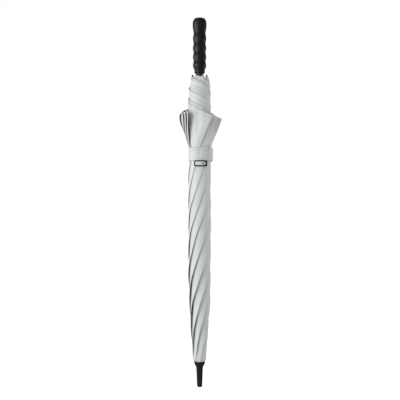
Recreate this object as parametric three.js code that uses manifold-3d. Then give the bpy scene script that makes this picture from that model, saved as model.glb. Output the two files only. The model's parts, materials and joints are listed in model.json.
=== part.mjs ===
// A closed stick umbrella with a straight foam grip, in millimetres, +Z up.
// The origin is the middle of the ferrule's flat tip, and the handle is at the top.
import * as THREE from 'three';
import { mergeVertices } from 'three/addons/utils/BufferGeometryUtils.js';
import Module from 'manifold-3d';

const wasm = await Module();
wasm.setup();

// ---- driving dimensions -------------------------------------------------------------

const LENGTH = 990;
const GAP = 0.3; // between two pieces that touch

const RIB_COUNT = 8;
const FIRST_RIB_DEG = -67.5; // azimuth of rib 1, to the right of the front (-Y)
const RIB_LENGTH = 762; // 30 inches, hinge to tip
const RIB_R = 1.8;
const ARM = 362; // hub hinge to rib joint, and rib joint to runner hinge
const HINGE_R = 10; // how far both rings of hinges lie from the axis
const HUB_Z = 75; // height of the hub's hinges
const JOINT_DROP = 5.4; // rib rod to the pivot of its joint
const STRETCHER_R = 1.6;
const OPEN_DEG = 66; // swing of a rib from closed to open

const SHAFT_R = 7;
const SHAFT_WALL = 1.7;
const SHAFT_TOP = 980;
const FERRULE_TOP = 54;
const FERRULE_BORE_Z = 22;
const CAP_RIM_Z = 69.5;
const CAP_RIM_R = 15;
const GRIP_Z = 850;
const CAP_SEAM_Z = 985;
const STRAP_Z = [606.5, 641];

const RUNNER_Z = HUB_Z + 2 * ARM; // height of the runner's hinges, closed
const OPEN_RUNNER_Z = HUB_Z + 2 * ARM * Math.cos(THREE.MathUtils.degToRad(OPEN_DEG));
const LEAN = Math.atan(JOINT_DROP / ARM); // of a closed rib, away from the shaft

// ---- materials ----------------------------------------------------------------------

function finish(color, roughness, metalness = 0) {
  return () => new THREE.MeshStandardMaterial({ color, roughness, metalness });
}

const paint = {
  fibreglass: finish(0x1b1d1f, 0.35),
  plastic: finish(0x161a1c, 0.5),
  foam: finish(0x121518, 0.85),
  wire: finish(0xb8bcbe, 0.3, 1),
  fabric: finish(0xd6d9d6, 0.8),
  inset: finish(0xe4e6e6, 0.55),
  snap: finish(0x5b5e60, 0.35, 1),
};

// ---- solids -------------------------------------------------------------------------

// A geometry with its shared corners merged and its flat triangles dropped.
function weld(geometry) {
  const bare = geometry.clone();
  bare.deleteAttribute('normal');
  bare.deleteAttribute('uv');
  const merged = mergeVertices(bare, 1e-4);
  const from = merged.index.array;
  const kept = [];
  for (let i = 0; i < from.length; i += 3) {
    const [a, b, c] = [from[i], from[i + 1], from[i + 2]];
    if (a !== b && b !== c && c !== a) kept.push(a, b, c);
  }
  merged.setIndex(kept);
  return merged;
}

function solid(geometry) {
  const merged = weld(geometry);
  return new wasm.Manifold(new wasm.Mesh({
    numProp: 3,
    vertProperties: new Float32Array(merged.attributes.position.array),
    triVerts: new Uint32Array(merged.index.array),
  }));
}

function geometryOf(body) {
  const { vertProperties, triVerts } = body.getMesh();
  const geometry = new THREE.BufferGeometry();
  geometry.setAttribute('position', new THREE.BufferAttribute(vertProperties.slice(), 3));
  geometry.setIndex(new THREE.BufferAttribute(triVerts.slice(), 1));
  return geometry;
}

const join = (first, ...rest) => rest.reduce((all, one) => all.add(one), first);
const cut = (first, ...rest) => rest.reduce((all, one) => all.subtract(one), first);

// A solid of revolution about Z from [radius, height] points.
// An open profile starts and ends on the axis. A ring's profile closes on itself.
function turned(points, segments = 24, ring = false) {
  const outline = points.map(([r, z]) => new THREE.Vector2(r, z));
  if (ring) outline.push(outline[0].clone());
  return new THREE.LatheGeometry(outline, segments).rotateX(Math.PI / 2);
}

// A ring with a square section.
function ringOf(inner, outer, low, high, segments = 24) {
  return turned([[inner, low], [outer, low], [outer, high], [inner, high]], segments, true);
}

function discOf(radius, low, high, segments = 20) {
  return turned([[0, low], [radius, low], [radius, high], [0, high]], segments);
}

function boxOf(x, y, z) {
  const [dx, dy, dz] = [x[1] - x[0], y[1] - y[0], z[1] - z[0]];
  return new THREE.BoxGeometry(dx, dy, dz)
    .translate((x[0] + x[1]) / 2, (y[0] + y[1]) / 2, (z[0] + z[1]) / 2);
}

// A pin along Y, centred at (x, z).
function pinOf(radius, x, z, length, segments = 8) {
  return new THREE.CylinderGeometry(radius, radius, length, segments).translate(x, 0, z);
}

// An outline in the XZ plane, as a plate of the given thickness about the middle y.
function plateOf(shape, thickness, y = 0) {
  return new THREE.ExtrudeGeometry(shape, { depth: thickness, bevelEnabled: false, curveSegments: 5 })
    .rotateX(Math.PI / 2)
    .translate(0, y + thickness / 2, 0);
}

// A strip with one round end about (x, z) and a square end at height `end`.
function tongue(x, z, radius, halfWidth, end) {
  const up = Math.sign(end - z);
  const shape = new THREE.Shape();
  const start = Math.asin(halfWidth / radius);
  shape.moveTo(x + up * halfWidth, end);
  shape.absarc(x, z, radius, up * Math.PI / 2 - start, up * Math.PI / 2 + start - 2 * Math.PI, true);
  shape.lineTo(x - up * halfWidth, end);
  shape.closePath();
  return shape;
}

// ---- the tree of named meshes -------------------------------------------------------

const umbrella = new THREE.Group();

function add(name, shape, material, group = umbrella) {
  const geometry = shape.isBufferGeometry ? weld(shape) : geometryOf(shape);
  const mesh = new THREE.Mesh(geometry, material());
  mesh.name = name;
  group.add(mesh);
  return mesh;
}

// ---- shaft and its two ends ---------------------------------------------------------

function addShaft() {
  const bottom = FERRULE_BORE_Z + GAP;
  add('shaft', ringOf(SHAFT_R - SHAFT_WALL, SHAFT_R, bottom, SHAFT_TOP), paint.fibreglass);
}

function addFerrule() {
  const bore = SHAFT_R + GAP;
  const profile = [
    [0, 0], [4, 0], [5.9, 1.1], [6.7, 3], [6.9, 6],
    [8.5, 46], [8.5, 48], [9.4, 49], [9.4, FERRULE_TOP],
    [bore, FERRULE_TOP], [bore, FERRULE_BORE_Z], [0, FERRULE_BORE_Z],
  ];
  add('ferrule', turned(profile), paint.plastic);
}

// The bowl that the canopy's crown is gathered into, with its mouth towards the handle.
function addCrownCap() {
  const bore = SHAFT_R + GAP;
  const wall = 1.3;
  const low = FERRULE_TOP + GAP;
  const outside = [[9.4, low], [11.2, low + 2], [13.4, low + 6], [14.6, low + 11], [CAP_RIM_R, CAP_RIM_Z]];
  const inside = [
    [CAP_RIM_R - wall, CAP_RIM_Z], [14.6 - wall, low + 11], [13.4 - wall, low + 6.6], [bore, low + 4.5],
  ];
  add('crown_cap', turned([[bore, low], ...outside, ...inside], 28, true), paint.plastic);
  add('crown_washer', ringOf(bore, 12.2, low + 8, low + 9.2), paint.plastic);
}

function addGrip() {
  const core = SHAFT_R + GAP;
  const coreR = 10.2;
  const foamR = coreR + GAP;
  const collarZ = 843.3;
  add('handle_core', ringOf(core, coreR, collarZ, CAP_SEAM_Z - 0.5), paint.plastic);
  add('grip_collar', turned([
    [foamR, collarZ], [13.2, collarZ], [14, collarZ + 1], [14, GRIP_Z - GAP], [foamR, GRIP_Z - GAP],
  ], 24, true), paint.plastic);
  add('grip', turned([[foamR, GRIP_Z], ...gripOutline(), [foamR, CAP_SEAM_Z - GAP]], 24, true), paint.foam);
  add('end_cap', join(
    solid(turned([
      [0, CAP_SEAM_Z], [16.4, CAP_SEAM_Z], [15.6, 987.2], [13.6, 988.9], [10.5, 989.8], [9, LENGTH], [0, LENGTH],
    ])),
    solid(discOf(SHAFT_R - SHAFT_WALL - GAP, 966, CAP_SEAM_Z + 1)),
  ), paint.plastic);
}

// Four finger grooves, each a raised-cosine hollow, then a long swell under the end cap.
function gripOutline() {
  const grooves = [874.7, 898, 923, 950];
  const ridge = 18;
  const hollow = 2.3;
  const steps = 3;
  const points = [[14.2, GRIP_Z], [15.6, 855], [ridge, 863.5]];
  grooves.forEach((z, k) => {
    const from = k ? (grooves[k - 1] + z) / 2 : 863.5;
    const to = k < grooves.length - 1 ? (z + grooves[k + 1]) / 2 : 970;
    for (let i = 1; i <= 2 * steps; i += 1) {
      const u = i / steps;
      const at = u <= 1 ? from + (z - from) * u : z + (to - z) * (u - 1);
      const top = u > 1 && k === grooves.length - 1 ? 18.8 : ridge;
      const depth = (1 - Math.cos(Math.PI * u)) / 2;
      points.push([top - (top - ridge + hollow) * depth, at]);
    }
  });
  return [...points, [18.8, 976], [18.2, 980.5], [16.6, CAP_SEAM_Z - GAP]];
}

// ---- hub and runner -----------------------------------------------------------------

// A slotted ring that the rib or stretcher eyes hang in, on a wire. `side` is +1 where
// the slots open upwards, as on the hub, and -1 where they open downwards.
function slottedRing(z, side) {
  const bore = SHAFT_R + (side > 0 ? GAP : 0.35);
  const base = [z - side * 6, z - side * 2.8].sort((a, b) => a - b);
  const teeth = [z - side * 3.2, z + side * 6].sort((a, b) => a - b);
  const slot = [z - side * 2.8, z + side * 7].sort((a, b) => a - b);
  const body = join(solid(ringOf(bore, 12, ...base)), solid(ringOf(bore, 11.6, ...teeth)));
  const groove = solid(ringOf(HINGE_R - 0.9, 14, z - 0.9, z + 0.9));
  const slots = [];
  for (let i = 0; i < RIB_COUNT; i += 1) {
    slots.push(solid(boxOf([SHAFT_R - 1, 14], [-1.4, 1.4], slot).rotateZ(azimuth(i))));
  }
  return cut(body, groove, ...slots);
}

const azimuth = (i) => THREE.MathUtils.degToRad(FIRST_RIB_DEG + (360 / RIB_COUNT) * i);

function wireRing(z) {
  return new THREE.TorusGeometry(HINGE_R, 0.5, 5, 32).translate(0, 0, z);
}

function addHub() {
  add('top_notch', slottedRing(HUB_Z, 1), paint.plastic);
  add('notch_wire', wireRing(HUB_Z), paint.wire);
}

function addRunner() {
  const bore = SHAFT_R + 0.35;
  const sleeve = turned([
    [bore, RUNNER_Z + 4], [10.2, RUNNER_Z + 4], [10.2, RUNNER_Z + 33.5], [11.6, RUNNER_Z + 35],
    [11.6, RUNNER_Z + 38.3], [bore, RUNNER_Z + 38.3],
  ], 24, true);
  const window = boxOf([-3, 3], [-14, -6], [RUNNER_Z + 12, RUNNER_Z + 28]);
  add('runner', cut(join(slottedRing(RUNNER_Z, -1), solid(sleeve)), solid(window)), paint.plastic);
  add('runner_wire', wireRing(RUNNER_Z), paint.wire);
  addLatch();
}

// The button that frees the runner. It stands in the sleeve's window, clear of the shaft.
function addLatch() {
  const low = RUNNER_Z + 12.4;
  const high = RUNNER_Z + 27.6;
  const ridges = [0, 1, 2].map((k) => solid(boxOf([-2.6, 2.6], [-13.4, -12], [low + 3 + 4 * k, low + 4.6 + 4 * k])));
  add('runner_latch', join(solid(boxOf([-2.6, 2.6], [-12.6, -9.4], [low, high])), ...ridges), paint.plastic);
}

function addStops() {
  const bore = SHAFT_R + GAP;
  const openZ = OPEN_RUNNER_Z - 6 - GAP;
  add('open_stop', ringOf(bore, 9.6, openZ - 5, openZ), paint.plastic);
  add('closed_stop', ringOf(bore, 9.6, RUNNER_Z + 38.8, 843), paint.plastic);
}

// ---- ribs and stretchers ------------------------------------------------------------

// A rib lies in its own leaning frame: the hub hinge is the origin and the rod runs up Z.
function ribRod() {
  const start = 8;
  const end = RIB_LENGTH - 6;
  const rod = new THREE.CylinderGeometry(RIB_R, RIB_R, end - start, 8)
    .rotateX(Math.PI / 2)
    .translate(0, 0, (start + end) / 2);
  const eye = plateOf(tongue(0, 0, 2.4, 1.5, start + 3), 2);
  return cut(join(solid(rod), solid(eye)), solid(pinOf(0.85, 0, 0, 4)));
}

function ribTip() {
  const end = RIB_LENGTH;
  const bore = RIB_R + GAP;
  return turned([
    [0, end - 5.5], [bore, end - 5.5], [bore, end - 14], [2.6, end - 14], [2.7, end - 5],
    [2.5, end - 2.2], [1.6, end - 0.6], [0, end],
  ], 10);
}

// The sleeve on the rod, with an ear that carries the stretcher's pin.
function ribJoint() {
  const pivotX = -ARM * Math.sin(LEAN);
  const z = ARM * Math.cos(LEAN);
  const sleeve = new THREE.CylinderGeometry(3.1, 3.1, 12, 10).rotateX(Math.PI / 2).translate(0, 0, z);
  const bore = new THREE.CylinderGeometry(2.2, 2.2, 14, 10).rotateX(Math.PI / 2).translate(0, 0, z);
  const ear = new THREE.Shape();
  ear.moveTo(-2, z - 3.5);
  ear.lineTo(-2, z + 3.5);
  ear.lineTo(pivotX, z + 1.9);
  ear.absarc(pivotX, z, 1.9, Math.PI / 2, (3 * Math.PI) / 2, false);
  ear.closePath();
  const pin = pinOf(0.9, pivotX, z, 4.4);
  return join(cut(join(solid(sleeve), solid(plateOf(ear, 1.6))), solid(bore)), solid(pin));
}

// A stretcher hangs between its two pivots, in the upright frame of its rib.
function stretcher() {
  const foot = HUB_Z + ARM;
  const fork = [-1, 1].map((side) => {
    const prong = solid(plateOf(tongue(HINGE_R, foot, 1.9, 1.5, foot + 12), 1.1, side * 1.7));
    return cut(prong, solid(pinOf(1.3, HINGE_R, foot, 8)));
  });
  const yoke = solid(boxOf([HINGE_R - 1.5, HINGE_R + 1.5], [-2.25, 2.25], [foot + 9, foot + 13]));
  const low = foot + 11;
  const high = RUNNER_Z - 8;
  const rod = new THREE.CylinderGeometry(STRETCHER_R, STRETCHER_R, high - low, 8)
    .rotateX(Math.PI / 2)
    .translate(HINGE_R, 0, (low + high) / 2);
  const eye = cut(
    solid(plateOf(tongue(HINGE_R, RUNNER_Z, 2.4, 1.5, high - 3), 2)),
    solid(pinOf(0.85, HINGE_R, RUNNER_Z, 4)),
  );
  return join(yoke, ...fork, solid(rod), eye);
}

function addRibs() {
  for (let i = 0; i < RIB_COUNT; i += 1) {
    const upright = new THREE.Group();
    upright.rotation.z = azimuth(i);
    const leaning = new THREE.Group();
    leaning.position.set(HINGE_R, 0, HUB_Z);
    leaning.rotation.y = LEAN;
    upright.add(leaning);
    umbrella.add(upright);
    add(`rib_${i + 1}`, ribRod(), paint.fibreglass, leaning);
    add(`rib_joint_${i + 1}`, ribJoint(), paint.plastic, leaning);
    add(`rib_tip_${i + 1}`, ribTip(), paint.plastic, leaning);
    add(`stretcher_${i + 1}`, stretcher(), paint.fibreglass, upright);
  }
}

// ---- canopy, strap and tab ----------------------------------------------------------

// The rolled canopy: gathered at the crown, even along the body, flared into loose
// pleats above the strap, then narrow again up to the rib tips. Its top is open.
function addCanopy() {
  const outside = [
    [12.3, 64], [13.3, CAP_RIM_Z], [17, 72], [18.8, 76], [20, 91], [22.8, 131], [24.4, 153], [28, 196],
    [29.6, 233], [31.3, 300], [31.3, 420], [30.6, 500], [30.4, 598], [30.4, 645], [33, 656],
    [41, 690], [56, 722], [57, 729], [32.5, 748], [29.6, 800], [29, 815], [26.8, 828],
  ];
  const inside = [[24.6, 828], [24.3, 800], [19.4, 447], [19.2, 428], [13.2, 90], [13, 68.6], [7.3, 68.6], [7.3, 64]];
  add('canopy', turned([...outside, ...inside], 32, true), paint.fabric);
}

function addStrap() {
  add('strap', ringOf(31, 33.4, ...STRAP_Z, 32), paint.fabric);
}

// A five-cornered arrow that points to +X, in the XZ plane.
function arrow(left, right, halfHeight, point) {
  const shape = new THREE.Shape();
  shape.moveTo(left, -halfHeight);
  shape.lineTo(right - point, -halfHeight);
  shape.lineTo(right, 0);
  shape.lineTo(right - point, halfHeight);
  shape.lineTo(left, halfHeight);
  shape.closePath();
  return shape;
}

function roundedBar(halfWidth, halfHeight, corner) {
  const shape = new THREE.Shape();
  shape.moveTo(-halfWidth + corner, -halfHeight);
  shape.absarc(halfWidth - corner, -halfHeight + corner, corner, -Math.PI / 2, 0, false);
  shape.absarc(halfWidth - corner, halfHeight - corner, corner, 0, Math.PI / 2, false);
  shape.absarc(-halfWidth + corner, halfHeight - corner, corner, Math.PI / 2, Math.PI, false);
  shape.absarc(-halfWidth + corner, -halfHeight + corner, corner, Math.PI, (3 * Math.PI) / 2, false);
  return shape;
}

// The strap's end tab lies on the roll just under the strap. Each piece of it is cut
// from a flat outline by a round shell, so it follows the roll.
function addTab() {
  const middle = [2.8, 0, 598.6];
  const depth = 20;
  const curved = (shape, inner, outer) => {
    const block = plateOf(shape, depth).translate(middle[0], -depth - 4, middle[2]);
    return solid(block).intersect(solid(ringOf(inner, outer, 585, 612, 48)));
  };
  const frame = curved(roundedBar(17.3, 7.6, 2.6), 32, 34);
  const hole = solid(plateOf(arrow(-14.3, 14.9, 5, 4.4), depth).translate(middle[0], -depth - 4, middle[2]));
  const floor = curved(roundedBar(17.3, 7.6, 2.6), 32, 32.7);
  add('strap_tab', join(cut(frame, hole), floor), paint.plastic);
  const snapX = 6.6;
  const snapHole = solid(pinOf(2.5, middle[0] + snapX, middle[2], 80, 16));
  add('tab_inset', cut(curved(arrow(-13.9, 14.2, 4.6, 4.1), 33, 33.9), snapHole), paint.inset);
  const snapCap = solid(pinOf(2.1, middle[0] + snapX, middle[2], 80, 16));
  add('snap_cap', snapCap.intersect(solid(ringOf(33, 34.4, 585, 612, 48)))
    .intersect(solid(boxOf([-40, 40], [-40, 0], [585, 612]))), paint.snap);
  const socket = solid(pinOf(3.4, middle[0] + snapX, middle[2], 80, 16));
  add('snap_socket', socket.intersect(solid(ringOf(30.8, 31.7, 585, 612, 48)))
    .intersect(solid(boxOf([-40, 40], [-40, 0], [585, 612]))), paint.snap);
}

addShaft();
addFerrule();
addCrownCap();
addHub();
addRibs();
addRunner();
addStops();
addGrip();
addCanopy();
addStrap();
addTab();

export default umbrella;
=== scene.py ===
"""A rolled stick umbrella, standing on its ferrule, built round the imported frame."""

import json
import math

import bmesh
import bpy
import numpy as np
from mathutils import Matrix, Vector

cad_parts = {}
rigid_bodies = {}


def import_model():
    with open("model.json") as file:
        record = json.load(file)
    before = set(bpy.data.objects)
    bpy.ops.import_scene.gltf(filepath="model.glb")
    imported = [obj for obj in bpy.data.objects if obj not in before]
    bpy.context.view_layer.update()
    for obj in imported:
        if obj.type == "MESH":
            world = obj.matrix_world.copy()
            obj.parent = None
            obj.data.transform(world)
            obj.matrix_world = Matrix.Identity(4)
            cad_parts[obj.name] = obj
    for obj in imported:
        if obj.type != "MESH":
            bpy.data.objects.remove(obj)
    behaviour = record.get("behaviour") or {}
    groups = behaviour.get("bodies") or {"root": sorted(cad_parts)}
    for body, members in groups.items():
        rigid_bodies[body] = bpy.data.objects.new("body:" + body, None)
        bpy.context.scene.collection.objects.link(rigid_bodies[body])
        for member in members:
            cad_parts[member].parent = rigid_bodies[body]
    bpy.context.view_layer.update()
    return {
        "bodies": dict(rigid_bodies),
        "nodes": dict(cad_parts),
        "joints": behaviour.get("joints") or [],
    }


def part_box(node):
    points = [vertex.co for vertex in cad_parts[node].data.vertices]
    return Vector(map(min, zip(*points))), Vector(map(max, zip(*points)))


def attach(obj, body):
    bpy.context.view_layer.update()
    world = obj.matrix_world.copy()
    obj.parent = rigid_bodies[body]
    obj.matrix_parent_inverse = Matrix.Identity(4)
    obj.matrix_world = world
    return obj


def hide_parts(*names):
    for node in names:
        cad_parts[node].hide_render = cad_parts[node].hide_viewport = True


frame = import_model()

MM = 0.001
TURN = 2 * math.pi

# ---- what the frame says, in millimetres ----

JOINTS = {joint["name"]: joint for joint in frame["joints"]}
RIB_COUNT = sum(name.startswith("rib_") for name in JOINTS)
STEP = TURN / RIB_COUNT
HALF_STEP = STEP / 2


def joint_point(name):
    return [value / MM for value in JOINTS[name]["pos_m"]]


def box(node):
    """Lowest and highest corner of a CAD node, in millimetres."""
    low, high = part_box(node)
    return np.array(low) / MM, np.array(high) / MM


def rib_azimuth(number):
    x, y, _ = joint_point(f"rib_{number}_swing")
    return math.atan2(y, x)


def rib_lean():
    """How far a closed rib leans away from the shaft, from the middle of its box."""
    middle = sum(box("rib_1")) / 2
    return math.atan2(math.hypot(middle[0], middle[1]) - HINGE_R, middle[2] - HUB_Z)


def around(count):
    """Evenly spaced angles, once round the axis."""
    return np.arange(count) * TURN / count


def polar(radius, azimuth, z):
    """Points at a distance from the axis, an azimuth and a height."""
    x, y = radius * np.cos(azimuth), radius * np.sin(azimuth)
    return np.stack(np.broadcast_arrays(x, y, z), axis=-1)


HINGE_R = math.hypot(*joint_point("rib_1_swing")[:2])
HUB_Z = joint_point("rib_1_swing")[2]
ARM = joint_point("stretcher_1_fold")[2] - HUB_Z
OPEN_ANGLE = math.radians(JOINTS["rib_1_swing"]["range_deg"][1])
LEAN = rib_lean()
AZIMUTHS = [rib_azimuth(number + 1) for number in range(RIB_COUNT)]

# ---- the canopy's own sizes, in millimetres ----

ROD_R = 1.8
ROD_CLEARANCE = 0.9  # cloth to rib
RIB_BEND = 2.62e-4  # an open rib's bow, per millimetre: bow = RIB_BEND * s * (s - ARM)
OPEN_SAG = 0.05  # of an open gore between two ribs, as a share of its width
HOLE_S = -2.4  # the crown hole, along a rib from its hinge
SEAM_START = 15
SEAM_END = 758
HEM_DIP = 30  # how far the hem's middle is cut in between two ribs
CROWN_Z = 76
TIP_Z = 833
SKIRT_Z = 640  # where the flaps begin to stand off, at the strap's upper edge
POINTED_Z = 650  # where each flap's edge has reached its own angle
CORNER_Z = 728
LOOSE_Z = 604  # where the flaps begin to slip round, under the strap
FLARE_WIDTH = 62  # of the loose part of a flap, from its folded edge
SHEET_GAP = 0.3  # between a flap's two layers
ROUNDING = 1.6  # of a flap's folded edge
HEM_LIP = 0.3  # how far the stitched hem curls off the roll

EVEN_SLIP = 0.005  # of a flap's turn, slow along its height
FINE_SLIP = 0.004
CROWN_WIDENING = 4.4
SWELL = 0.35  # how far a flap puffs up beside its folded edge
SWELL_WIDTH = 24
# Waves on the roll: (height, number of them round it, millimetres along it per radian, phase).
BODY_WAVES = [(0.32, 3, 31, 0), (0.26, 5, -19, 1), (0.14, 11, -9, 0), (0.10, 17, 6.5, 2)]
FOLD_WAVES = [(1.1, 7, 45, 0.6), (0.7, 12, -38, 0)]
FOLDS_LOW_Z = 655  # the loose skirt's own folds
FOLDS_HIGH_Z = 735
HELD_Z = 624  # where the strap presses the roll even
HELD_REACH = 30
STRAP_MIDDLE_Z = 622
SQUEEZE_DEPTH = 2.2  # of the left side of the roll, by the strap
SQUEEZE_REACH = 26
VALLEY_START_Z = 796  # of the hollows between the rib tips
VALLEY_DEPTH = 1.6
DEEP_VALLEY = 2.6  # how much deeper the valley at the front right is
DEEP_VALLEY_DEG = -42

# Outer radius of the roll at each height, without the loose corners.
ROLL_OUTLINE = [
    (72, 17.8), (76, 18.4), (91, 19.6), (131, 22.2), (153, 23.9), (196, 27.2), (233, 29), (300, 30.5),
    (420, 30.5), (500, 30.2), (598, 30), (645, 30.1), (690, 31), (735, 31.2), (760, 30.6), (800, 29.2),
    (815, 28.2), (826, 26.4), (834, 24.4),
]
# Way of the cloth from the crown hole, inside the cap and out over its rim: (radius, height).
CROWN_PATH = [(7.6, 64.8), (12, 65), (13, 69.6), (15.4, 71.9), (17.4, 76)]
# Each flap's loose edge, from the front flap round to the right: where it leaves the strap, where
# its corner points, the corner's radius, how much it is lifted, and how sharply it turns out:
# (degrees, degrees, radius, lift, sharpness).
LOOSE_EDGES = [
    (-84.5, -51, 50, -2, 2.3), (-43, -29, 55, -4, 3.0), (4, -8, 63, -6, 2.8), (60, 98, 52, 0, 2.0),
    (150, -165, 58, 2, 1.0), (178, -151, 55.5, 4, 0.7), (-168, -141, 52.5, 6, 0.6),
    (-153, -134, 49, 8, 0.8),
]
FRONT_EDGE_DEG = -83  # the front flap's folded edge, at the strap's upper edge
# How much less a flap turns than its width allows, being gathered near the crown: (height, degrees).
GATHERED = [(76, 0), (100, 18), (123, 40), (153, 60), (188, 72), (229, 82), (284, 90), (415, 110)]


def smoothstep(value):
    t = np.clip(value, 0, 1)
    return t * t * (3 - 2 * t)


def seam_height(s):
    """Height of the rolled canopy's seam at s along its rib."""
    return CROWN_Z + (s - SEAM_START) * (TIP_Z - CROWN_Z) / (SEAM_END - SEAM_START)


def rod_radius(z):
    """Distance of a closed rib's middle line from the axis."""
    return HINGE_R + (z - HUB_Z) * math.tan(LEAN)


def open_radius(s):
    angle = OPEN_ANGLE + LEAN
    return HINGE_R + s * math.sin(angle) - RIB_BEND * s * (s - ARM) * math.cos(angle)


def half_chord(s):
    """Half the width of a gore between two ribs, cut flat."""
    return open_radius(s) * math.sin(HALF_STEP)


def gore_slant(s):
    """Angle between a gore's seam and its middle line."""
    slope = half_chord(s + 1) - half_chord(s)
    return np.arcsin(slope)


def flat_place(s, share):
    """(height, distance round the roll) of a cloth point: share is 0 on the rib and 1 on the fold."""
    across = share * half_chord(s)
    slant = gore_slant(s)
    return seam_height(s) - across * np.sin(slant), across * np.cos(slant)


def hem_place(share):
    """How far along its ribs a gore's hem lies."""
    return SEAM_END - HEM_DIP * share * (2 - share)


def inner_radius(z):
    """Radius of the innermost cloth: just over the ribs, and wider over the crown cap's rim."""
    over_rim = CROWN_WIDENING * np.exp(-np.maximum(z - CROWN_Z, 0) / 40)
    return rod_radius(z) + ROD_R + ROD_CLEARANCE + over_rim


def outer_radius(z):
    heights, radii = zip(*ROLL_OUTLINE)
    return np.interp(z, heights, radii)


def rolled_radius(z, share):
    """Radius of a flap that winds evenly from its rib, share 0, out to its folded edge, share 1."""
    inner = inner_radius(z)
    return inner + (outer_radius(z) - inner) * share


def flap_width():
    """Two tables against height: how far round a flap reaches, and where its fold would be."""
    s = np.linspace(SEAM_START, hem_place(1.0), 300)
    fold_z, fold_length = flat_place(s, 1.0)
    share = np.linspace(1, 0, 120)
    hem_z, hem_length = flat_place(hem_place(share), share)
    z = np.concatenate([fold_z, hem_z[1:]])
    reach = np.concatenate([fold_length, hem_length[1:]])
    slope = (fold_length[-1] - fold_length[-20]) / (fold_z[-1] - fold_z[-20])
    fold = np.where(z > fold_z[-1], fold_length[-1] + slope * (z - fold_z[-1]), reach)
    return z, reach, fold


def gathered_share(z, full_turn):
    """What is left of a flap's turn once part of its width is gathered."""
    heights, degrees = zip(*GATHERED)
    return 1 - np.radians(np.interp(z, heights, degrees)) / np.maximum(full_turn, 0.6)


class Flap:
    """One gore's two layers, rolled round the ribs: radius and turn against height and length."""

    step = 2.0
    heights = np.arange(66.0, 838.0, step)
    shares = np.linspace(0, 1, 181)

    def __init__(self, number, strap_degrees, corner_degrees, corner_radius, lift, sharpness):
        self.number = number
        self.lift = lift
        z = self.heights[:, None]
        at_heights, reaches, folds = flap_width()
        reach = np.maximum(np.interp(z, at_heights, reaches), 0.5)
        self.reach = reach[:, 0]
        length = self.shares[None, :] * reach
        fold = np.interp(z, at_heights, folds)
        from_fold = fold - length
        radius = rolled_radius(z, self.shares[None, :]) + self.flare(z, from_fold, corner_radius, sharpness)
        self.radius = radius
        turn = self.roll_up(length, radius)
        self.turn = turn * gathered_share(z, turn[:, -1:] * fold / reach)
        self.settle(z, length / length[:, -1:], strap_degrees, corner_degrees)

    def flare(self, z, from_fold, corner_radius, sharpness):
        """The loose edge of the flap, standing off above the strap."""
        rise = np.clip((z - SKIRT_Z) / (CORNER_Z - SKIRT_Z), 0, 1.2) ** 1.15
        near = np.clip(1 - from_fold / FLARE_WIDTH, 0, 1) ** sharpness
        return (corner_radius - outer_radius(CORNER_Z)) * rise * near

    def roll_up(self, length, radius):
        """Angle round the axis at each length, so that the cloth keeps its width."""
        step = np.diff(length, axis=1)
        rise = np.diff(radius, axis=1)
        middle = (radius[:, 1:] + radius[:, :-1]) / 2
        along = np.sqrt(np.maximum(step ** 2 - rise ** 2, (0.3 * step) ** 2))
        angle = np.cumsum(along / middle, axis=1)
        return np.concatenate([np.zeros((len(angle), 1)), angle], axis=1)

    def settle(self, z, share, strap_degrees, corner_degrees):
        """Small slips of the roll, and the loose edge turned to where it points."""
        phase = 1.7 * self.number
        slip = EVEN_SLIP * np.sin(z / 61 + phase) + FINE_SLIP * np.sin(z / 27 + 2.3 * phase)
        self.turn = self.turn * (1 + slip)
        at_strap = self.miss(POINTED_Z, strap_degrees)
        at_corner = self.miss(CORNER_Z, corner_degrees)
        started = smoothstep((z - LOOSE_Z) / (POINTED_Z - LOOSE_Z))
        loosened = np.clip((z - POINTED_Z) / (CORNER_Z - POINTED_Z), 0, 1.1) ** 0.8
        self.turn = self.turn + (at_strap * started + (at_corner - at_strap) * loosened) * share ** 3

    def miss(self, z, degrees):
        """How far the folded edge still is from where it should point, at a height."""
        row = np.argmin(np.abs(self.heights - z))
        now = AZIMUTHS[self.number] + self.turn[row, -1] + ROLL_TWIST
        return (math.radians(degrees) - now + math.pi) % TURN - math.pi

    def at(self, z, length):
        """(radius, turn) at heights and lengths, read between the table's points."""
        reach = np.interp(z, self.heights, self.reach)
        row = np.clip((z - self.heights[0]) / self.step, 0, len(self.heights) - 1.001)
        column = np.clip(length / reach, 0, 1) * (len(self.shares) - 1.001)
        low_row, low_column = row.astype(int), column.astype(int)
        u, v = row - low_row, column - low_column
        found = []
        for grid in (self.radius, self.turn):
            near = grid[low_row, low_column] * (1 - v) + grid[low_row, low_column + 1] * v
            far = grid[low_row + 1, low_column] * (1 - v) + grid[low_row + 1, low_column + 1] * v
            found.append(near * (1 - u) + far * u)
        return found


def edge_turn(z):
    """How far round the folded edge lies at a height, before the flaps loosen."""
    at_heights, reaches, _ = flap_width()
    length = np.linspace(0, np.interp(z, at_heights, reaches), 200)
    share = length / length[-1]
    radius = rolled_radius(z, share)
    middle = (radius[1:] + radius[:-1]) / 2
    full = float(np.sum(np.diff(length) / middle))
    return full * float(gathered_share(z, full))


def front_flap():
    """(number of the flap whose edge is the front one, the twist that puts it there)."""
    misses = []
    for azimuth in AZIMUTHS:
        gap = math.radians(FRONT_EDGE_DEG) - azimuth - edge_turn(SKIRT_Z)
        misses.append((gap + math.pi) % TURN - math.pi)
    number = int(np.argmin(np.abs(misses)))
    return number, misses[number]


FRONT, ROLL_TWIST = front_flap()
FLAPS = {}
for order, edge in enumerate(LOOSE_EDGES):
    flap_number = (FRONT + order) % RIB_COUNT
    FLAPS[flap_number] = Flap(flap_number, *edge)


def twist(z, length):
    """A small extra turn of the outer layers, which leaves the seams on their ribs."""
    return ROLL_TWIST * smoothstep(length / 60) * smoothstep((z - CROWN_Z) / 60)


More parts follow.
